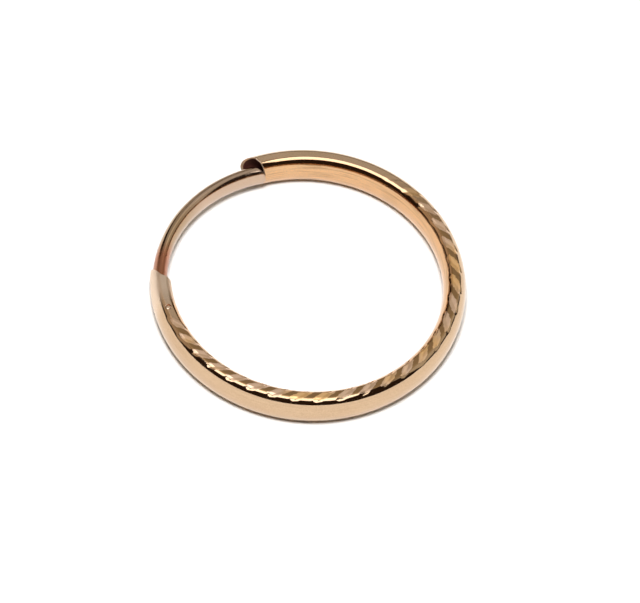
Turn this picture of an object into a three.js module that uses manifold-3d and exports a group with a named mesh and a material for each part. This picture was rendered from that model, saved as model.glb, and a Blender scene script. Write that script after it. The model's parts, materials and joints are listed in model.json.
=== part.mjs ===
// Hinged hoop earring, lying flat: a hollow oval tube bent into most of a ring, with diagonal
// diamond cuts on its side faces, closed by a thinner oval wire that swings inwards on a pin.
// Millimetres, +Z up. The ring's axis is Z, +Y points away from the viewer, and the underside
// rests at Z = 0. Angles are in degrees, counter-clockwise from +X seen from above.

import * as THREE from 'three';
import Module from 'manifold-3d';

const wasm = await Module();
wasm.setup();

// Driving sizes of the tube
const outerDiameter = 18;
const tubeWidth = 1.3;
const tubeHeight = 2.25;
const tubeWall = 0.11;
const restWidth = 0.3;

// The ends of the tube, where they meet its inner wall, the shoulder where they turn, and its
// outer wall, which runs on furthest and backs the wire
const catchEnd = { inner: 113.6, shoulder: 116.2, outer: 120.6 };
const hingeEnd = { inner: 189.8, shoulder: 187.4, outer: 182.1 };
const shoulderShare = 0.6;

// Driving sizes of the wire and its hinge
const wireWidth = 0.82;
const wireHeight = 1.48;
const eyeDiameter = 0.84;
const eyeHeight = 0.6;
const pinDiameter = 0.3;
const pinAngle = 203;
const pinRecess = 0.01;
const runningClearance = 0.03;
const eyeClearance = 0.07;
const slotClearance = 0.05;
const slotEndAngle = 207;
const mouthClearance = 0.05;
const tipAngle = 116;
const tipSink = 0.32;
const bowRise = 0.03;

// Diamond cuts: the first one is next to the hinge, and the last ones fade out
const cutCount = 28;
const cutPitchAngle = 8.5;
const cutGrowthAngle = 0.0225;
const firstCutAngle = -156.6;
const cutWidthAngle = 4.2;
const cutDepth = 0.06;
const cutSlantAngle = 12.5;
const fadingCuts = 5;
const cutEdgeAngle = 40;
const cutFullAngle = 68;

// Mesh steps
const sectionSteps = 24;
const boreSteps = 18;
const boreColumns = 72;
const plainStepAngle = 6;
const wireSides = 14;
const wireStepAngle = 2.5;
const roundSides = 20;
const fineSides = 180;

// Sizes worked out from these
const tubeRadius = (outerDiameter - tubeWidth) / 2;
const halfWidth = tubeWidth / 2;
const halfHeight = tubeHeight / 2;
const overrun = outerDiameter;
const fullTurn = 360;

const radians = THREE.MathUtils.degToRad;

const gold = { color: 0xcf9f78, metalness: 1, roughness: 0.22 };
const wireGold = { color: 0xb98562, metalness: 1, roughness: 0.34 };

function planPoint(radius, angle) {
  return new THREE.Vector2(radius * Math.cos(radians(angle)), radius * Math.sin(radians(angle)));
}

// Solids from meshes, and meshes from solids

function toSolid(geometry) {
  const vertProperties = new Float32Array(geometry.attributes.position.array);
  const triVerts = geometry.index
    ? new Uint32Array(geometry.index.array)
    : Uint32Array.from({ length: geometry.attributes.position.count }, (_, corner) => corner);
  const mesh = new wasm.Mesh({ numProp: 3, vertProperties, triVerts });
  mesh.merge();
  return new wasm.Manifold(mesh);
}

function toGeometry(solid) {
  const mesh = solid.getMesh();
  const geometry = new THREE.BufferGeometry();
  geometry.setAttribute('position', new THREE.BufferAttribute(mesh.vertProperties, 3));
  geometry.setIndex(new THREE.BufferAttribute(mesh.triVerts, 1));
  return geometry;
}

// An upright round bar about a point of the plan, with its middle in the ring's middle plane
function uprightBar(radius, height, centre, sides = roundSides) {
  const bar = new THREE.CylinderGeometry(radius, radius, height, sides);
  bar.rotateX(Math.PI / 2);
  bar.translate(centre.x, centre.y, 0);
  return toSolid(bar);
}

// A plan outline raised to a height about the ring's middle plane, by default well past its faces
function uprightBlock(corners, height = overrun) {
  const shape = new THREE.Shape(corners);
  const block = new THREE.ExtrudeGeometry(shape, { depth: height, bevelEnabled: false });
  block.translate(0, 0, -height / 2);
  return toSolid(block);
}

// The tube's section: an oval whose top and bottom are flat over the resting width. The oval is
// a little taller than the tube, so that the flats lie at the tube's height.
const flatTurn = Math.asin(restWidth / tubeWidth);

function sectionTurns(steps) {
  const side = (Math.PI - 2 * flatTurn) / (steps / 2 - 1);
  const turns = [];
  for (const start of [-Math.PI / 2 + flatTurn, Math.PI / 2 + flatTurn]) {
    for (let i = 0; i < steps / 2; i += 1) {
      turns.push(start + i * side);
    }
  }
  return turns;
}

function sectionPoint(turn, inset) {
  const ovalHeight = halfHeight / Math.cos(flatTurn);
  return new THREE.Vector2(
    tubeRadius + (halfWidth - inset) * Math.cos(turn),
    (ovalHeight - inset) * Math.sin(turn),
  );
}

// A full ring of one section, with its columns at the given angles, made by turning the section
// about Z and then setting each point again, so that columns may lean and sink
function ring(turns, columns, place) {
  const profile = turns.map((turn) => sectionPoint(turn, 0));
  profile.push(profile[0].clone());
  const geometry = new THREE.LatheGeometry(profile, columns.length);
  const position = geometry.attributes.position;
  for (let column = 0; column <= columns.length; column += 1) {
    for (let step = 0; step < profile.length; step += 1) {
      const spot = place(turns[step % turns.length], columns[column % columns.length]);
      const plan = planPoint(spot.radius, spot.angle);
      position.setXYZ(column * profile.length + step, plan.x, plan.y, spot.height);
    }
  }
  return toSolid(geometry);
}

// Where a cut starts on the outer wall: the cuts spread a little along the ring
function cutAngle(cut) {
  return firstCutAngle + cut * cutPitchAngle + cut * cut * cutGrowthAngle;
}

// Columns of the outer surface: three to a cut, at its two edges and its deepest line, and an
// even spread over the plain stretch
function outerColumns() {
  const columns = [];
  for (let cut = 0; cut < cutCount; cut += 1) {
    const start = cutAngle(cut);
    const fade = Math.min(1, (cutCount - cut) / fadingCuts);
    columns.push({ angle: start, depth: 0 });
    columns.push({ angle: start + cutWidthAngle / 2, depth: cutDepth * fade });
    columns.push({ angle: start + cutWidthAngle, depth: 0 });
  }
  const plainStart = cutAngle(cutCount);
  const plainEnd = firstCutAngle + fullTurn;
  const count = Math.ceil((plainEnd - plainStart) / plainStepAngle);
  for (let i = 0; i < count; i += 1) {
    columns.push({ angle: plainStart + (i * (plainEnd - plainStart)) / count, depth: 0 });
  }
  return columns;
}

// How much of a cut's depth reaches a point of the section: all of it on the side faces, and
// none on the inner and the outer wall
function cutReach(turn) {
  const climb = THREE.MathUtils.radToDeg(Math.asin(Math.abs(Math.sin(turn))));
  return THREE.MathUtils.smoothstep(climb, cutEdgeAngle, cutFullAngle);
}

function outerSpot(turn, column) {
  const sink = column.depth * cutReach(turn);
  const point = sectionPoint(turn, sink);
  return {
    radius: point.x,
    height: point.y,
    angle: column.angle + (cutSlantAngle * (1 - Math.cos(turn))) / 2,
  };
}

function boreSpot(turn, column) {
  const point = sectionPoint(turn, tubeWall);
  return { radius: point.x, height: point.y, angle: column.angle };
}

function boreColumnList() {
  const columns = [];
  for (let i = 0; i < boreColumns; i += 1) {
    columns.push({ angle: (i * fullTurn) / boreColumns });
  }
  return columns;
}

// The corners of one end of the tube, from inside the ring to two tube widths past its outer wall
function endCorners(end) {
  const inner = planPoint(tubeRadius - halfWidth, end.inner);
  const shoulder = planPoint(tubeRadius + halfWidth * (2 * shoulderShare - 1), end.shoulder);
  const outer = planPoint(tubeRadius + halfWidth, end.outer);
  const run = outer.clone().sub(shoulder).setLength(2 * tubeWidth);
  return [inner.clone().lerp(shoulder, -1), inner, shoulder, outer.add(run)];
}

function gapBlock() {
  return uprightBlock([...endCorners(catchEnd), ...endCorners(hingeEnd).reverse()]);
}

// The hinge pin stands as near the outer wall as its eye allows, so that the wire lies along
// the tube's outer wall
const boreHalfWidth = halfWidth - tubeWall;
const pinRadius = tubeRadius + boreHalfWidth - eyeDiameter / 2 - eyeClearance;
const pinCentre = planPoint(pinRadius, pinAngle);

// The slot in the inner wall that lets the wire swing in past the hinge end
function swingSlot() {
  const corners = [
    planPoint(tubeRadius, hingeEnd.outer),
    planPoint(tubeRadius, slotEndAngle),
    planPoint(tubeRadius - tubeWidth, slotEndAngle),
    planPoint(tubeRadius - tubeWidth, hingeEnd.outer),
  ];
  return uprightBlock(corners, wireHeight + 2 * slotClearance);
}

function hoopTube() {
  const skin = ring(sectionTurns(sectionSteps), outerColumns(), outerSpot);
  const bore = ring(sectionTurns(boreSteps), boreColumnList(), boreSpot);
  const pinHole = uprightBar(pinDiameter / 2 + runningClearance, overrun, pinCentre);
  return skin.subtract(bore).subtract(gapBlock()).subtract(pinHole).subtract(swingSlot());
}

// The wire is an arc from the pin's centre, through a point at the middle of the gap, to its tip
// in the catch mouth, where it lies nearer the inner wall
const bowAngle = (tipAngle + pinAngle) / 2;
const bowPoint = planPoint(tubeRadius + bowRise, bowAngle);
const tipPoint = planPoint(tubeRadius - tipSink, tipAngle);

function circleThrough(a, b, c) {
  const ab = b.clone().sub(a);
  const ac = c.clone().sub(a);
  const cross = 2 * (ab.x * ac.y - ab.y * ac.x);
  const x = (ac.y * ab.lengthSq() - ab.y * ac.lengthSq()) / cross;
  const y = (ab.x * ac.lengthSq() - ac.x * ab.lengthSq()) / cross;
  return { centre: new THREE.Vector2(a.x + x, a.y + y), radius: Math.hypot(x, y) };
}

function earWire() {
  const circle = circleThrough(pinCentre, bowPoint, tipPoint);
  const angleOf = (point) => Math.atan2(point.y - circle.centre.y, point.x - circle.centre.x);
  const pinTurn = angleOf(pinCentre);
  const tipTurn = angleOf(tipPoint) - wireWidth / circle.radius;
  let sweep = tipTurn - pinTurn;
  if (sweep > 0) {
    sweep -= 2 * Math.PI;
  }
  const steps = Math.ceil(-sweep / radians(wireStepAngle));
  const curve = new THREE.Curve();
  curve.getPoint = (share) => {
    const turn = pinTurn + sweep * share;
    const x = circle.centre.x + circle.radius * Math.cos(turn);
    const y = circle.centre.y + circle.radius * Math.sin(turn);
    return new THREE.Vector3(x, y, 0);
  };
  const corners = [];
  for (let side = 0; side < wireSides; side += 1) {
    const corner = planPoint(1, (side * fullTurn) / wireSides);
    corners.push(new THREE.Vector2((corner.x * wireHeight) / 2, (corner.y * wireWidth) / 2));
  }
  const section = new THREE.Shape(corners);
  const bar = toSolid(new THREE.ExtrudeGeometry(section, { steps, extrudePath: curve }));

  // The tang: the wire is pressed flat round the pin, and pierced for it
  const tangRadius = eyeDiameter / 2;
  const eye = uprightBar(tangRadius, eyeHeight, pinCentre);
  const pressed = uprightBar(tangRadius, overrun, pinCentre).subtract(
    uprightBar(2 * tangRadius, eyeHeight, pinCentre),
  );
  const pierced = uprightBar(pinDiameter / 2 + runningClearance, overrun, pinCentre);

  // The tip is rounded about the pin, so that it swings past the end of the inner wall
  const [, innerEnd] = endCorners(catchEnd);
  const reach = uprightBar(innerEnd.distanceTo(pinCentre) - mouthClearance, overrun, pinCentre, fineSides);
  return bar.subtract(pressed).add(eye).subtract(pierced).intersect(reach);
}

function hingePin() {
  return uprightBar(pinDiameter / 2, tubeHeight - 2 * pinRecess, pinCentre);
}

function piece(name, solid, look) {
  const mesh = new THREE.Mesh(toGeometry(solid), new THREE.MeshStandardMaterial(look));
  mesh.name = name;
  return mesh;
}

const earring = new THREE.Group();
earring.add(piece('hoop_tube', hoopTube(), gold));
earring.add(piece('ear_wire', earWire(), wireGold));
earring.add(piece('hinge_pin', hingePin(), gold));
earring.position.z = halfHeight;

export default earring;
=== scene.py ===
"""The hinged hoop earring in gold, lying flat on a pale floor in soft studio light.

Sizes are in millimetres and angles in degrees, counter-clockwise from +X seen from above, until a
mesh is made. Blender's own units are metres.
"""

import json
import math

import bmesh
import bpy
from mathutils import Matrix, Vector


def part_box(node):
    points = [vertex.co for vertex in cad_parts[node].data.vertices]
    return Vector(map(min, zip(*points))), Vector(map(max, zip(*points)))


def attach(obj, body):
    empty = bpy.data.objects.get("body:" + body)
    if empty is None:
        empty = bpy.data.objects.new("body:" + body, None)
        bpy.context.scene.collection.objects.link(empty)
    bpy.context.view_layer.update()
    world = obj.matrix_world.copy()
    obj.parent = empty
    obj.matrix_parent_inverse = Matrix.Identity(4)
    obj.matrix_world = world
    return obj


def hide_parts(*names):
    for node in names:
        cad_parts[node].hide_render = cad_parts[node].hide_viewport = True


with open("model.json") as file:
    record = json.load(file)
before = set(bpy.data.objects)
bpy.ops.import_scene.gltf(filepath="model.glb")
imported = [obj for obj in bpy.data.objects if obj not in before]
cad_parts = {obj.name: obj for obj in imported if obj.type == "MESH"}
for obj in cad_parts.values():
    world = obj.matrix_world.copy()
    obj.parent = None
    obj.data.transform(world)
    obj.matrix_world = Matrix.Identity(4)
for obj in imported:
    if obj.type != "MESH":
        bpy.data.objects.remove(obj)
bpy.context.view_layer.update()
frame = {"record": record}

METRE = 1000.0
FULL_TURN = 360.0

# Sizes read from the frame
tube_low, tube_high = (Vector(corner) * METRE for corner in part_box("hoop_tube"))
HEIGHT = tube_high.z - tube_low.z
MID = (tube_high.z + tube_low.z) / 2
OUTER_RADIUS = min(-tube_low.x, tube_high.x, -tube_low.y, tube_high.y)
joints = {joint["name"]: joint for joint in frame["record"]["behaviour"]["joints"]}
HINGE = joints["wire_hinge"]
PIN = Vector(HINGE["pos_m"][:2]) * METRE
wire_low, wire_high = (Vector(corner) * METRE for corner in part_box("ear_wire"))
WIRE_HALF_HEIGHT = (wire_high.z - wire_low.z) / 2
pin_low, pin_high = (Vector(corner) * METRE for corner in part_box("hinge_pin"))
PIN_RADIUS = (pin_high.x - pin_low.x) / 2

# The tube
TUBE_WIDTH = 1.3
WALL = 0.11
FLAT_WIDTH = 0.3
LIP = 0.02
TUBE_RADIUS = OUTER_RADIUS - TUBE_WIDTH / 2
INNER_RADIUS = TUBE_RADIUS - TUBE_WIDTH / 2
FLAT_TURN = math.asin(FLAT_WIDTH / TUBE_WIDTH)

# Where each end of the tube meets its inner wall, its shoulder and its outer wall
CATCH_END = {"inner": 113.6, "shoulder": 116.2, "outer": 120.6}
HINGE_END = {"inner": -170.2, "shoulder": -172.6, "outer": -177.9}
SHOULDER_SHARE = 0.6

# The diamond cuts, by their number. Their depth is full from CUT_FULL up the section, none below CUT_EDGE.
CUTS = 28
CUT_PITCH = 8.5
CUT_PITCH_GROWTH = 0.0225
FIRST_CUT = -156.6
CUT_WIDTH = 4.2
CUT_DEPTH = 0.045
CUT_SLANT = 12.5
CUT_EDGE = 50.0
CUT_FULL = 70.0

# The numbers of the cuts between which they and their satin look fade out towards the catch
CUTS_FADE = (20.0, 24.0)

# The wire and its hinge
WIRE_HALF_WIDTH = 0.41
EYE_RADIUS = 0.42
EYE_HALF_HEIGHT = 0.3
TANG_BLEND = 0.25
MOUTH_CLEARANCE = 0.05
TIP_ANGLE = 116.0
TIP_SINK = 0.32
BOW_RISE = 0.03
TIP_BEVEL = 0.07
HOLE_CLEARANCE = 0.03
SLOT_CLEARANCE = 0.05
SLOT_END = -153.0
SLOT_ROUND = 0.1
PIN_DOME = 0.09

# Mesh steps. The columns of a cut and of the land after it are at shares of their width.
TURNS = 112
CUT_SHARES = (0.0, 0.06, 0.3, 0.46, 0.5, 0.54, 0.7, 0.94, 1.0)
LAND_SHARES = (0.06, 0.5, 0.94)
PLAIN_STEPS = 14
LIP_STEPS = 3
CORNER_STEPS = 6
BORE_STEPS = 150
WIRE_SIDES = 56
WIRE_STEPS = 130
ROUND_SIDES = 48
EYE_STEPS = 12
DOME_STEPS = 8
SHARP_ANGLE = math.radians(11)


def smoothstep(value, low, high):
    share = min(1.0, max(0.0, (value - low) / (high - low)))
    return share * share * (3 - 2 * share)


def mix(a, b, share):
    return a + (b - a) * share


def plan(radius, angle):
    return Vector((radius * math.cos(math.radians(angle)), radius * math.sin(math.radians(angle))))


# Meshes

def mesh_object(name, points, faces):
    mesh = bpy.data.meshes.new(name)
    mesh.from_pydata([tuple(value / METRE for value in point) for point in points], [], faces)
    mesh.update()
    piece = bpy.data.objects.new(name, mesh)
    bpy.context.scene.collection.objects.link(piece)
    return piece


def loft(name, rows, closed=False):
    """A skin through rows of points, each row a loop. It closes on itself, or both ends are capped."""
    sides = len(rows[0])
    points = [point for row in rows for point in row]
    faces = []
    for i in range(len(rows) if closed else len(rows) - 1):
        low = i * sides
        high = (i + 1) % len(rows) * sides
        for j in range(sides):
            k = (j + 1) % sides
            faces.append((low + j, low + k, high + k, high + j))
    if not closed:
        faces.append(tuple(reversed(range(sides))))
        faces.append(tuple(range(len(points) - sides, len(points))))
    piece = mesh_object(name, points, faces)
    skin = bmesh.new()
    skin.from_mesh(piece.data)
    bmesh.ops.recalc_face_normals(skin, faces=skin.faces)
    skin.to_mesh(piece.data)
    skin.free()
    return piece


def shade(piece):
    mesh = piece.data
    mesh.polygons.foreach_set("use_smooth", [True] * len(mesh.polygons))
    mesh.set_sharp_from_angle(angle=SHARP_ANGLE)


def cut(piece, cutter):
    """Takes the cutter's solid out of the piece, and deletes the cutter."""
    modifier = piece.modifiers.new("cut", "BOOLEAN")
    modifier.operation = "DIFFERENCE"
    modifier.solver = "EXACT"
    modifier.object = cutter
    done = bpy.data.meshes.new_from_object(piece.evaluated_get(bpy.context.evaluated_depsgraph_get()))
    piece.modifiers.clear()
    piece.data = done
    bpy.data.objects.remove(cutter)


def circle(radius, height):
    """A level circle about the hinge."""
    spots = [PIN + plan(radius, FULL_TURN * side / ROUND_SIDES) for side in range(ROUND_SIDES)]
    return [(spot.x, spot.y, height) for spot in spots]


def round_bar(name, radius, low, high):
    """An upright bar about the hinge."""
    return loft(name, [circle(radius, low), circle(radius, high)])


def drill(piece):
    """The round hole for the pin."""
    cut(piece, round_bar("pin_hole", PIN_RADIUS + HOLE_CLEARANCE, -HEIGHT, 2 * HEIGHT))


# The tube

def section(turn, inset):
    """Radius and height of a point of the tube's oval, some way in from its surface."""
    oval = HEIGHT / 2 / math.cos(FLAT_TURN)
    height = (oval - inset) * math.sin(turn)
    limit = HEIGHT / 2 - inset
    radius = TUBE_RADIUS + (TUBE_WIDTH / 2 - inset) * math.cos(turn)
    return radius, MID + max(-limit, min(limit, height))


def end_angle(end, radius):
    """Where an end of the tube lies at a radius: two straight stretches that meet at the shoulder."""
    shoulder = mix(INNER_RADIUS, OUTER_RADIUS, SHOULDER_SHARE)
    if radius < shoulder:
        share = (radius - INNER_RADIUS) / (shoulder - INNER_RADIUS)
        return mix(end["inner"], end["shoulder"], share)
    share = (radius - shoulder) / (OUTER_RADIUS - shoulder)
    return mix(end["shoulder"], end["outer"], share)


def cut_angle(number):
    return FIRST_CUT + number * CUT_PITCH + number * number * CUT_PITCH_GROWTH


def cut_reach(turn):
    """How much of its depth a cut has at a point of the section."""
    climb = math.degrees(math.asin(abs(math.sin(turn))))
    return smoothstep(climb, CUT_EDGE, CUT_FULL)


def lean(turn):
    """How far along the ring a column has leant at a point of the section."""
    return CUT_SLANT * (1 - math.cos(turn)) / 2


def skin_columns():
    """(angle on the outer wall, depth of the cut there), from the first cut to the last one."""
    columns = []
    for number in range(CUTS):
        start = cut_angle(number)
        fade = 1 - smoothstep(number, *CUTS_FADE)
        for across in CUT_SHARES:
            depth = CUT_DEPTH * fade * (1 - abs(2 * across - 1))
            columns.append((start + CUT_WIDTH * across, depth))
        land = cut_angle(number + 1) - start - CUT_WIDTH
        for across in LAND_SHARES:
            columns.append((start + CUT_WIDTH + land * across, 0.0))
    return columns


def lip_steps():
    """(distance back from the end, inset) round the outer edge of a lip and then its inner one."""
    steps = []
    for step in range(LIP_STEPS + 1):
        turn = math.pi / 2 * step / LIP_STEPS
        steps.append((LIP * (1 - math.sin(turn)), LIP * (1 - math.cos(turn))))
    return steps + [(back, WALL - inset) for back, inset in reversed(steps)]


def tube_rows():
    turns = [2 * math.pi * step / TURNS for step in range(TURNS)]
    columns = skin_columns()
    lip = lip_steps()
    rows = []

    def add(place, inset):
        row = []
        for turn in turns:
            radius, height = section(turn, inset(turn))
            spot = plan(radius, place(turn, radius))
            row.append((spot.x, spot.y, height))
        rows.append(row)

    def near_end(end, direction, back, inset):
        """A column of a lip, some way back from the end."""
        def place(turn, radius):
            return end_angle(end, radius) + direction * math.degrees(back / radius)
        add(place, lambda turn: inset)

    def plain(end, direction, angle, share):
        """A column of the plain stretch between an end and the cuts."""
        def place(turn, radius):
            edge = end_angle(end, radius) + direction * math.degrees(LIP / radius)
            return mix(edge, angle + lean(turn), share)
        add(place, lambda turn: 0.0)

    for back, inset in reversed(lip):
        near_end(HINGE_END, 1, back, inset)
    for step in range(1, PLAIN_STEPS):
        plain(HINGE_END, 1, columns[0][0], step / PLAIN_STEPS)
    for angle, depth in columns:
        add(lambda turn, radius: angle + lean(turn), lambda turn: depth * cut_reach(turn))
    for step in range(1, PLAIN_STEPS):
        plain(CATCH_END, -1, columns[-1][0], 1 - step / PLAIN_STEPS)
    for back, inset in lip:
        near_end(CATCH_END, -1, back, inset)
    for step in range(1, BORE_STEPS):
        share = step / BORE_STEPS
        add(
            lambda turn, radius: mix(end_angle(CATCH_END, radius), end_angle(HINGE_END, radius), share),
            lambda turn: WALL,
        )
    return rows


def slot_block():
    """The slot in the inner wall of the hinge end, through which the wire swings in."""
    half = WIRE_HALF_HEIGHT + SLOT_CLEARANCE
    round_angle = math.degrees(SLOT_ROUND / TUBE_RADIUS)
    outline = [(HINGE_END["outer"], half), (HINGE_END["outer"], -half)]
    for side in (-1, 1):
        steps = range(CORNER_STEPS + 1)
        for step in steps if side < 0 else reversed(steps):
            turn = math.pi / 2 * step / CORNER_STEPS
            angle = SLOT_END - round_angle * (1 - math.sin(turn))
            outline.append((angle, side * (half - SLOT_ROUND * (1 - math.cos(turn)))))
    rows = []
    for radius in (TUBE_RADIUS, TUBE_RADIUS - TUBE_WIDTH):
        row = []
        for angle, height in outline:
            spot = plan(radius, angle)
            row.append((spot.x, spot.y, MID + height))
        rows.append(row)
    return loft("slot_block", rows)


def in_bore(point):
    """Whether a point lies on the wall's inner side."""
    across = (math.hypot(point.x, point.y) * METRE - TUBE_RADIUS) / (TUBE_WIDTH / 2 - WALL / 2)
    along = (point.z * METRE - MID) / (HEIGHT / 2 - WALL / 2)
    return across * across + along * along < 1


def hoop_tube():
    tube = loft("hoop_tube_gold", tube_rows(), closed=True)
    cut(tube, slot_block())
    drill(tube)
    shade(tube)
    return tube


# The wire: an arc from the hinge, through the middle of the gap, to its tip in the catch mouth

def circle_through(a, b, c):
    ab = b - a
    ac = c - a
    cross = 2 * (ab.x * ac.y - ab.y * ac.x)
    x = (ac.y * ab.length_squared - ab.y * ac.length_squared) / cross
    y = (ab.x * ac.length_squared - ac.x * ab.length_squared) / cross
    return a + Vector((x, y)), math.hypot(x, y)


def ear_wire():
    pin_angle = math.degrees(math.atan2(PIN.y, PIN.x)) + FULL_TURN
    bow = plan(TUBE_RADIUS + BOW_RISE, (TIP_ANGLE + pin_angle) / 2)
    tip = plan(TUBE_RADIUS - TIP_SINK, TIP_ANGLE)
    centre, arc_radius = circle_through(PIN, bow, tip)
    start = math.atan2(PIN.y - centre.y, PIN.x - centre.x)
    inner_corner = plan(INNER_RADIUS, CATCH_END["inner"])
    reach = (inner_corner - PIN).length - MOUTH_CLEARANCE

    def row(offsets, turn_of):
        spots = []
        for across, up in offsets:
            turn = start - turn_of(across)
            radius = arc_radius + across
            spot = centre + Vector((radius * math.cos(turn), radius * math.sin(turn)))
            spots.append((spot.x, spot.y, MID + up))
        return spots

    def ring(half_width, half_height):
        offsets = []
        for side in range(WIRE_SIDES):
            turn = 2 * math.pi * side / WIRE_SIDES
            offsets.append((half_width * math.cos(turn), half_height * math.sin(turn)))
        return offsets

    def tip_turn(across):
        """How far round the arc the tip lies, all of it at one distance from the hinge."""
        radius = arc_radius + across
        share = (radius * radius + arc_radius * arc_radius - reach * reach) / (2 * radius * arc_radius)
        return math.acos(share)

    rows = []
    for step in range(1, EYE_STEPS):
        turn = math.pi / 2 * step / EYE_STEPS
        back = EYE_RADIUS * math.cos(turn) / arc_radius
        shrink = math.sin(turn)
        rows.append(row(ring(EYE_RADIUS * shrink, EYE_HALF_HEIGHT), lambda across: -back))
    length = arc_radius * tip_turn(0.0)
    for step in range(WIRE_STEPS):
        share = step / WIRE_STEPS
        blend = smoothstep(share * length, EYE_RADIUS, EYE_RADIUS + TANG_BLEND)
        half_width = mix(EYE_RADIUS, WIRE_HALF_WIDTH, blend)
        half_height = mix(EYE_HALF_HEIGHT, WIRE_HALF_HEIGHT, blend)
        offsets = ring(half_width, half_height)
        rows.append(row(offsets, lambda across: share * (tip_turn(across) - TIP_BEVEL / arc_radius)))
    for step in range(CORNER_STEPS + 1):
        turn = math.pi / 2 * step / CORNER_STEPS
        inset = TIP_BEVEL * (1 - math.cos(turn))
        back = TIP_BEVEL * (1 - math.sin(turn)) / arc_radius
        offsets = ring(WIRE_HALF_WIDTH - inset, WIRE_HALF_HEIGHT - inset)
        rows.append(row(offsets, lambda across: tip_turn(across) - back))
    wire = loft("ear_wire_gold", rows)
    drill(wire)
    shade(wire)
    return wire


def hinge_pin():
    """A rivet with slightly domed ends."""
    rows = []
    for end, direction in ((pin_low.z, 1), (pin_high.z, -1)):
        steps = range(1, DOME_STEPS + 1)
        for step in steps if direction > 0 else reversed(steps):
            share = step / DOME_STEPS
            height = end + direction * PIN_DOME * (1 - math.sqrt(1 - share * share))
            rows.append(circle(PIN_RADIUS * share, height))
    pin = loft("hinge_pin_gold", rows)
    shade(pin)
    return pin


# Materials. Noise scales are in waves per metre, and noise lies mostly within NOISE_MIDDLE.

NOISE_DETAIL = 3.0
NOISE_MIDDLE = (0.3, 0.7)
POLISH_SCALE = 2500.0
METAL = 1.0


class Nodes:
    """A material's node tree, with short calls for what the materials here share."""

    def __init__(self, name, metallic=0.0):
        self.material = bpy.data.materials.new(name)
        self.material.use_nodes = True
        self.tree = self.material.node_tree
        self.shader = self.tree.nodes["Principled BSDF"]
        self.shader.inputs["Metallic"].default_value = metallic
        self.place = self.tree.nodes.new("ShaderNodeTexCoord").outputs["Object"]

    def link(self, output, socket):
        self.tree.links.new(output, socket)

    def noise(self, scale, detail=NOISE_DETAIL, place=None):
        node = self.tree.nodes.new("ShaderNodeTexNoise")
        node.inputs["Scale"].default_value = scale
        node.inputs["Detail"].default_value = detail
        self.link(place or self.place, node.inputs["Vector"])
        return node.outputs["Fac"]

    def vector(self, x, y):
        node = self.tree.nodes.new("ShaderNodeCombineXYZ")
        self.link(x, node.inputs["X"])
        self.link(y, node.inputs["Y"])
        return node.outputs["Vector"]

    def spread(self, value, from_low, from_high, low, high):
        node = self.tree.nodes.new("ShaderNodeMapRange")
        node.inputs["From Min"].default_value = from_low
        node.inputs["From Max"].default_value = from_high
        node.inputs["To Min"].default_value = low
        node.inputs["To Max"].default_value = high
        self.link(value, node.inputs["Value"])
        return node.outputs["Result"]

    def mask(self, value, start, full):
        """0 on the near side of one value, 1 past the other one."""
        return self.spread(value, start, full, 0.0, 1.0)

    def uneven(self, scale, low, high):
        """Noise spread between two values."""
        return self.spread(self.noise(scale), *NOISE_MIDDLE, low, high)

    def math(self, operation, *values):
        node = self.tree.nodes.new("ShaderNodeMath")
        node.operation = operation
        for socket, value in zip(node.inputs, values):
            if isinstance(value, float):
                socket.default_value = value
            else:
                self.link(value, socket)
        return node.outputs["Value"]

    def blend(self, share, low, high):
        node = self.tree.nodes.new("ShaderNodeMix")
        node.data_type = "RGBA"
        self.link(share, node.inputs["Factor"])
        for socket, value in ((node.inputs[6], low), (node.inputs[7], high)):
            if isinstance(value, tuple):
                socket.default_value = (*value, 1.0)
            else:
                self.link(value, socket)
        return node.outputs[2]

    def xyz(self):
        node = self.tree.nodes.new("ShaderNodeSeparateXYZ")
        self.link(self.place, node.inputs["Vector"])
        return node.outputs

    def ramp(self, value, stops):
        node = self.tree.nodes.new("ShaderNodeValToRGB")
        ramp = node.color_ramp
        while len(ramp.elements) < len(stops):
            ramp.elements.new(1.0)
        for element, (at, colour) in zip(ramp.elements, stops):
            element.position = at
            element.color = (*colour, 1.0)
        self.link(value, node.inputs["Fac"])
        return node.outputs["Color"]

    def bump(self, height, depth):
        node = self.tree.nodes.new("ShaderNodeBump")
        node.inputs["Distance"].default_value = depth / METRE
        self.link(height, node.inputs["Height"])
        self.link(node.outputs["Normal"], self.shader.inputs["Normal"])


GOLD = (0.62, 0.445, 0.29)
WORN_GOLD = (0.50, 0.345, 0.215)
# Redder on the inner wall: painted reflection of the ring's own gold.
INNER_REFLECTION_GOLD = (0.72, 0.42, 0.21)
PALE_GOLD = (0.80, 0.64, 0.50)
# Pale facets: painted sheen; also the rivet's painted glint and the rims' painted reflection.
FACET_SHEEN_GOLD = (0.86, 0.61, 0.43)
# Warm facets: painted warm reflection.
WARM_REFLECTION_GOLD = (0.95, 0.60, 0.28)
# Bands between the facets: painted shade; also the inner wall's scored streaks.
BAND_SHADE_AND_SCORE_GOLD = (0.37, 0.22, 0.10)
WIRE_GOLD = (0.52, 0.38, 0.28)
BROWN_GOLD = (0.42, 0.29, 0.18)
BURNT_GOLD = (0.42, 0.18, 0.10)
# The tube's inside, in both its tones: painted shade.
BORE_SHADE_GOLD = (0.14, 0.045, 0.035)
DEEP_BORE_SHADE_GOLD = (0.24, 0.09, 0.07)

# The satin zone, in shares of the tube's height above and below its middle: the pale facets of the cuts,
# painted sheen, grow from FACET_RISE's first share to its second one, and the darker bands of painted
# shade begin at BAND_RISE
FACET_RISE = (0.452, 0.492)
FACET_GROWTH = 0.5
BAND_RISE = (0.477, 0.487)
SATIN_ROUGHNESS = 0.25

# A facet in shares of the pitch, and the noise that wears its edge. CUTS_BEGIN is by number.
FACET_SHARE = 0.66
FACET_CENTRE = 0.235
FACET_SOFT = 0.04
FACET_RAGGED = 0.25
RAGGED_SCALE = 5000.0
CUTS_BEGIN = (-0.2, 0.2)

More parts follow.
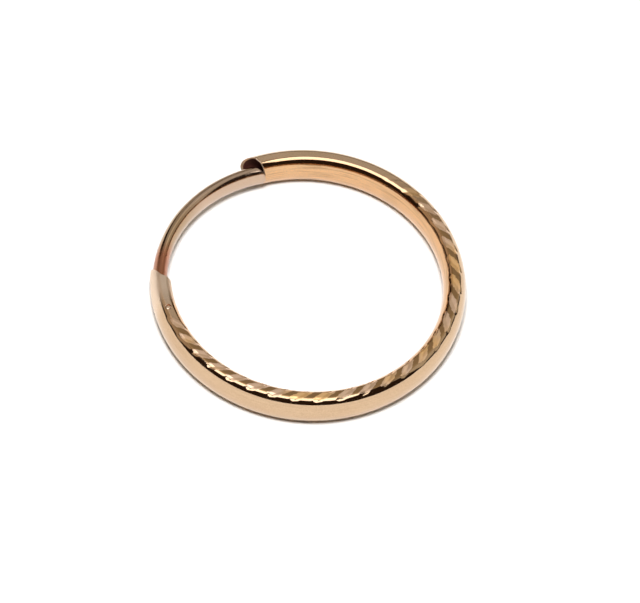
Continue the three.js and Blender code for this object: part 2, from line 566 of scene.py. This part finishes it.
# The tube's polish: streaks along the ring, worn patches, and the scored inner wall
STREAKS_PER_DEGREE = 0.06
STREAKS_PER_HEIGHT = 22.0
STREAK_DETAIL = 4.0
STREAK_SHARE = 0.4
PATCH_SCALE = 16000.0
WORN_PATCHES = (0.4, 0.65)
INNER_ACROSS = (-0.2, -0.7)
SCORED_STREAKS = (0.52, 0.68)
SCORED_MOST = 0.8
# Patches of cut facets that take a warm painted reflection:
WARM_SCALE = 420.0
WARM_DETAIL = 1.0
WARM_PATCHES = (0.48, 0.62)
TUBE_POLISH = (0.05, 0.1)
BRUSHED_ANGLES = (-166.0, -156.0)
BRUSHED_ROUGHNESS = 0.4
GRAIN_SCALE = 14000.0
GRAIN_DETAIL = 2.0
GRAIN_DEPTH = 0.006
SATIN_GRAIN = 4.0
LEAST_GRAIN = 0.04


def cut_number(nodes, across, angle):
    """The number of the cut, with its fraction: where the cut_angle formula gives this angle."""
    leant = nodes.math("MULTIPLY_ADD", across, CUT_SLANT / 2, angle)
    passed = nodes.math("SUBTRACT", leant, CUT_SLANT / 2 + FIRST_CUT)
    root = nodes.math("SQRT", nodes.math("MULTIPLY_ADD", passed, 4 * CUT_PITCH_GROWTH, CUT_PITCH ** 2))
    return nodes.math("DIVIDE", nodes.math("SUBTRACT", root, CUT_PITCH), 2 * CUT_PITCH_GROWTH)


def facet_and_band(nodes, rise, number):
    """Masks of the pale facets, painted sheen, and of the darker bands between them, painted shade."""
    turn = nodes.math("FRACT", nodes.math("ADD", number, 0.5 - FACET_CENTRE))
    aside = nodes.math("ABSOLUTE", nodes.math("SUBTRACT", turn, 0.5))
    narrow = (FACET_SHARE - FACET_RAGGED) / 2
    wide = (FACET_SHARE + FACET_RAGGED) / 2
    ragged = nodes.spread(nodes.noise(RAGGED_SCALE), 0.0, 1.0, narrow, wide)
    grown = nodes.math("POWER", nodes.mask(rise, *FACET_RISE), FACET_GROWTH)
    spare = nodes.math("SUBTRACT", nodes.math("MULTIPLY", grown, ragged), aside)
    ended = nodes.spread(number, *CUTS_FADE, 1.0, 0.0)
    along = nodes.math("MULTIPLY", nodes.mask(number, *CUTS_BEGIN), ended)
    facet = nodes.math("MULTIPLY", nodes.mask(spare, 0.0, FACET_SOFT), along)
    band = nodes.math("MULTIPLY", nodes.mask(rise, *BAND_RISE), along)
    return facet, band


def ring_streaks(nodes, angle, rise):
    """Noise that is drawn out along the ring."""
    along = nodes.math("MULTIPLY", angle, STREAKS_PER_DEGREE)
    up = nodes.math("MULTIPLY", rise, STREAKS_PER_HEIGHT)
    return nodes.noise(1.0, STREAK_DETAIL, nodes.vector(along, up))


def tube_colour(nodes, across, streaks, brushed, facet, band):
    """Worn gold, scored on the inner wall and redder there with painted reflection of the ring's own gold,
    pale where it is brushed, with pale cut facets of painted sheen, some with a warm painted reflection,
    and bands of painted shade between.
    """
    share = nodes.math("MULTIPLY", streaks, STREAK_SHARE)
    patches = nodes.math("MULTIPLY_ADD", nodes.noise(PATCH_SCALE), 1 - STREAK_SHARE, share)
    inner = nodes.mask(across, *INNER_ACROSS)
    # The inner wall's redder tone is painted reflection of the ring's own gold.
    colour = nodes.blend(inner, GOLD, INNER_REFLECTION_GOLD)
    colour = nodes.blend(nodes.mask(patches, *WORN_PATCHES), colour, WORN_GOLD)
    scored = nodes.math("MULTIPLY", inner, nodes.spread(streaks, *SCORED_STREAKS, 0.0, SCORED_MOST))
    colour = nodes.blend(scored, colour, BAND_SHADE_AND_SCORE_GOLD)
    colour = nodes.blend(brushed, colour, PALE_GOLD)
    # Painted shade in the bands between the cuts.
    colour = nodes.blend(band, colour, BAND_SHADE_AND_SCORE_GOLD)
    # Pale facets of painted sheen, some with a warm painted reflection.
    warm = nodes.mask(nodes.noise(WARM_SCALE, WARM_DETAIL), *WARM_PATCHES)
    return nodes.blend(facet, colour, nodes.blend(warm, FACET_SHEEN_GOLD, WARM_REFLECTION_GOLD))


def cut_gold():
    """Polished on the walls, and satin on the side faces, with pale facets of painted sheen and darker
    bands of painted shade between.
    """
    nodes = Nodes("tube_gold", METAL)
    x, y, z = nodes.xyz()
    climb = nodes.math("ABSOLUTE", nodes.math("SUBTRACT", z, MID / METRE))
    rise = nodes.math("DIVIDE", climb, HEIGHT / METRE)
    squares = nodes.math("ADD", nodes.math("MULTIPLY", x, x), nodes.math("MULTIPLY", y, y))
    radius = nodes.math("SQRT", squares)
    across = nodes.spread(radius, INNER_RADIUS / METRE, OUTER_RADIUS / METRE, -1.0, 1.0)
    angle = nodes.math("MULTIPLY", nodes.math("ARCTAN2", y, x), math.degrees(1))
    facet, band = facet_and_band(nodes, rise, cut_number(nodes, across, angle))
    brushed = nodes.spread(angle, *BRUSHED_ANGLES, 1.0, 0.0)
    streaks = ring_streaks(nodes, angle, rise)
    colour = tube_colour(nodes, across, streaks, brushed, facet, band)
    nodes.link(colour, nodes.shader.inputs["Base Color"])
    satin_rough = nodes.math("MULTIPLY", nodes.math("MAXIMUM", facet, band), SATIN_ROUGHNESS)
    brushed_rough = nodes.math("MULTIPLY", brushed, BRUSHED_ROUGHNESS)
    rough = nodes.math("MAXIMUM", satin_rough, brushed_rough)
    polish = nodes.uneven(POLISH_SCALE, *TUBE_POLISH)
    nodes.link(nodes.math("ADD", rough, polish), nodes.shader.inputs["Roughness"])
    coarse = nodes.math("MULTIPLY_ADD", rough, SATIN_GRAIN, LEAST_GRAIN)
    nodes.bump(nodes.math("MULTIPLY", nodes.noise(GRAIN_SCALE, GRAIN_DETAIL), coarse), GRAIN_DEPTH)
    return nodes.material


# The wire, in shares of BURN_REACH, a distance from the hinge
BURN_REACH = 8.0
WIRE_COLOURS = (
    (0.0, BURNT_GOLD),
    (0.50, BURNT_GOLD),
    (0.62, BROWN_GOLD),
    (0.80, BROWN_GOLD),
    (1.0, WIRE_GOLD),
)
BURNT_SHARES = (0.45, 0.62)
BURNT_ROUGHNESS = 0.2
WIRE_POLISH = (0.1, 0.18)
WIRE_GRAIN_SCALE = 5000.0
WIRE_GRAIN_DETAIL = 4.0
WIRE_GRAIN_DEPTH = 0.002


def discoloured_wire():
    """Wire gold that is darker and redder next to the hinge, from the heat of soldering."""
    nodes = Nodes("wire_gold", METAL)
    away = nodes.tree.nodes.new("ShaderNodeVectorMath")
    away.operation = "DISTANCE"
    away.inputs[1].default_value = HINGE["pos_m"]
    nodes.link(nodes.place, away.inputs[0])
    share = nodes.mask(away.outputs["Value"], 0.0, BURN_REACH / METRE)
    nodes.link(nodes.ramp(share, WIRE_COLOURS), nodes.shader.inputs["Base Color"])
    burnt = nodes.spread(share, *BURNT_SHARES, BURNT_ROUGHNESS, 0.0)
    polish = nodes.uneven(POLISH_SCALE, *WIRE_POLISH)
    nodes.link(nodes.math("ADD", polish, burnt), nodes.shader.inputs["Roughness"])
    nodes.bump(nodes.noise(WIRE_GRAIN_SCALE, WIRE_GRAIN_DETAIL), WIRE_GRAIN_DEPTH)
    return nodes.material


# Gold in two tones: each tone is whole at its share of the noise
# The rivet: pale tones of a painted glint on its domed end.
RIVET_GLINT_LOOK = {
    "tones": ((0.35, PALE_GOLD), (0.75, FACET_SHEEN_GOLD)),
    "patch_scale": 900.0,
    "polish": (0.1, 0.18),
    "polish_scale": POLISH_SCALE,
    "grain_scale": 6000.0,
    "grain_detail": 4.0,
    "grain_depth": 0.0015,
}
# The tube's inside: dark tones of painted shade.
BORE_LOOK = {
    "tones": ((0.35, BORE_SHADE_GOLD), (0.7, DEEP_BORE_SHADE_GOLD)),
    "patch_scale": 1500.0,
    "polish": (0.35, 0.5),
    "polish_scale": 4000.0,
    "grain_scale": 8000.0,
    "grain_detail": NOISE_DETAIL,
    "grain_depth": 0.003,
}
# The rims at the tube's ends: pale tones of painted reflection.
EDGE_REFLECTION_LOOK = {
    "tones": ((0.35, PALE_GOLD), (0.75, FACET_SHEEN_GOLD)),
    "patch_scale": 4000.0,
    "polish": (0.3, 0.45),
    "polish_scale": POLISH_SCALE,
    "grain_scale": 12000.0,
    "grain_detail": NOISE_DETAIL,
    "grain_depth": 0.003,
}


def two_tone_gold(name, look):
    """The domed rivet with a painted glint, the tube's raw inside darkened with painted shade, or the edge
    where the tube was sawn through, paled with a painted reflection.
    """
    nodes = Nodes(name, METAL)
    patches = nodes.noise(look["patch_scale"])
    nodes.link(nodes.ramp(patches, look["tones"]), nodes.shader.inputs["Base Color"])
    polish = nodes.uneven(look["polish_scale"], *look["polish"])
    nodes.link(polish, nodes.shader.inputs["Roughness"])
    nodes.bump(nodes.noise(look["grain_scale"], look["grain_detail"]), look["grain_depth"])
    return nodes.material


# The tube's materials, in the order that its faces count them
SKIN, BORE, EDGE = range(3)
EDGE_SHARE = 0.5


def along_ring(face):
    """How far a face looks along the ring, from 0 to 1."""
    ahead = Vector((-face.center.y, face.center.x, 0.0)).normalized()
    return abs(face.normal.dot(ahead))


def dress(piece, body, node, materials):
    piece.data.materials.clear()
    for material in materials:
        piece.data.materials.append(material)
    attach(piece, body)
    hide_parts(node)


def paint_tube(tube):
    """Gives the faces of the bore and of the sawn edges their own materials."""
    for face in tube.data.polygons:
        if along_ring(face) > EDGE_SHARE:
            face.material_index = EDGE
        elif in_bore(face.center):
            face.material_index = BORE
        else:
            face.material_index = SKIN


tube = hoop_tube()
bore_shade_gold = two_tone_gold("bore_shade_gold", BORE_LOOK)
edge_reflection_gold = two_tone_gold("edge_reflection_gold", EDGE_REFLECTION_LOOK)
dress(tube, "hoop", "hoop_tube", [cut_gold(), bore_shade_gold, edge_reflection_gold])
paint_tube(tube)
dress(ear_wire(), "wire", "ear_wire", [discoloured_wire()])
dress(hinge_pin(), "hoop", "hinge_pin", [two_tone_gold("pin_gold", RIVET_GLINT_LOOK)])


# The studio

FLOOR_HALF = 600.0
FLOOR_WHITE = (0.9, 0.9, 0.9, 1.0)
FLOOR_ROUGHNESS = 0.9
FLOOR_SPECULAR = 0.1
WHITE = (1.0, 1.0, 1.0)
WORLD_COLOUR = (0.030, 0.016, 0.010, 1.0)
LIGHT_DISTANCE = 500.0

# Panels: azimuth, elevation, the angles they span across and upright, radiance and colour
PANELS = {
    "key_panel": (262, 76, 14, 14, 56.0, WHITE),
    "front_panel": (258, 50, 76, 29, 2.6, WHITE),
    "top_panel": (90, 81, 80, 64, 0.6, (1.0, 0.97, 0.92)),
    "right_panel": (15, 32, 60, 44, 0.6, (1.0, 0.94, 0.8)),
    "left_panel": (170, 32, 50, 40, 0.5, (1.0, 0.82, 0.62)),
    "back_panel": (90, 28, 60, 30, 0.55, (1.0, 0.93, 0.78)),
}


def floor():
    corners = [(-1, -1), (1, -1), (1, 1), (-1, 1)]
    points = [(FLOOR_HALF * x, FLOOR_HALF * y, 0.0) for x, y in corners]
    piece = mesh_object("floor", points, [(0, 1, 2, 3)])
    nodes = Nodes("floor_white")
    nodes.shader.inputs["Base Color"].default_value = FLOOR_WHITE
    nodes.shader.inputs["Roughness"].default_value = FLOOR_ROUGHNESS
    nodes.shader.inputs["Specular IOR Level"].default_value = FLOOR_SPECULAR
    piece.data.materials.append(nodes.material)


def panel_side(angle):
    """The side of a panel that spans an angle, in metres."""
    return 2 * LIGHT_DISTANCE / METRE * math.tan(math.radians(angle / 2))


def panel(name, azimuth, elevation, across, tall, radiance, colour):
    """A soft light panel that faces the earring."""
    light = bpy.data.lights.new(name, "AREA")
    light.shape = "RECTANGLE"
    light.size = panel_side(across)
    light.size_y = panel_side(tall)
    light.energy = radiance * math.pi * light.size * light.size_y
    light.color = colour
    lamp = bpy.data.objects.new(name, light)
    distance = LIGHT_DISTANCE / METRE
    spot = plan(distance * math.cos(math.radians(elevation)), azimuth)
    lamp.location = (spot.x, spot.y, distance * math.sin(math.radians(elevation)))
    lamp.rotation_euler = lamp.location.to_track_quat("Z", "Y").to_euler()
    lamp.visible_camera = False
    bpy.context.scene.collection.objects.link(lamp)
    return lamp


def studio():
    """The key panel lights the floor and isn't mirrored in the gold. The front panel is only mirrored."""
    lamps = {name: panel(name, *values) for name, values in PANELS.items()}
    lamps["key_panel"].visible_glossy = False
    lamps["front_panel"].visible_diffuse = False
    world = bpy.data.worlds.new("studio")
    world.use_nodes = True
    world.node_tree.nodes["Background"].inputs["Color"].default_value = WORLD_COLOUR
    bpy.context.scene.world = world
    bpy.context.scene.view_settings.view_transform = "Standard"


# The camera stands where the photograph's stood. Its lens is long, so the ring hardly tapers.

IMAGE_WIDTH = 640
SENSOR_WIDTH = 36.0
PIXELS_PER_MM = 17.6125
CAMERA_ELEVATION = 55.32
CAMERA_ROLL = 6.06
CAMERA_DISTANCE = 1000.0
AIM_RIGHT = 0.678
AIM_UP = -0.943
CLIP_END = 10.0


def camera():
    data = bpy.data.cameras.new("camera")
    data.sensor_width = SENSOR_WIDTH
    data.lens = PIXELS_PER_MM * CAMERA_DISTANCE * SENSOR_WIDTH / IMAGE_WIDTH
    data.clip_end = CLIP_END
    tilt = math.radians(CAMERA_ELEVATION)
    roll = math.radians(CAMERA_ROLL)
    towards = Vector((0.0, -math.cos(tilt), math.sin(tilt)))
    level = Vector((1.0, 0.0, 0.0))
    rise = towards.cross(level)
    right = level * math.cos(roll) + rise * math.sin(roll)
    up = rise * math.cos(roll) - level * math.sin(roll)
    eye = Vector((0.0, 0.0, MID)) + right * AIM_RIGHT + up * AIM_UP + towards * CAMERA_DISTANCE
    holder = bpy.data.objects.new("camera", data)
    bpy.context.scene.collection.objects.link(holder)
    axes = (right, up, towards)
    rows = [[*(axis[row] for axis in axes), eye[row] / METRE] for row in range(3)]
    holder.matrix_world = Matrix([*rows, [0, 0, 0, 1]])
    bpy.context.scene.camera = holder


floor()
studio()
camera()

bpy.context.view_layer.update()
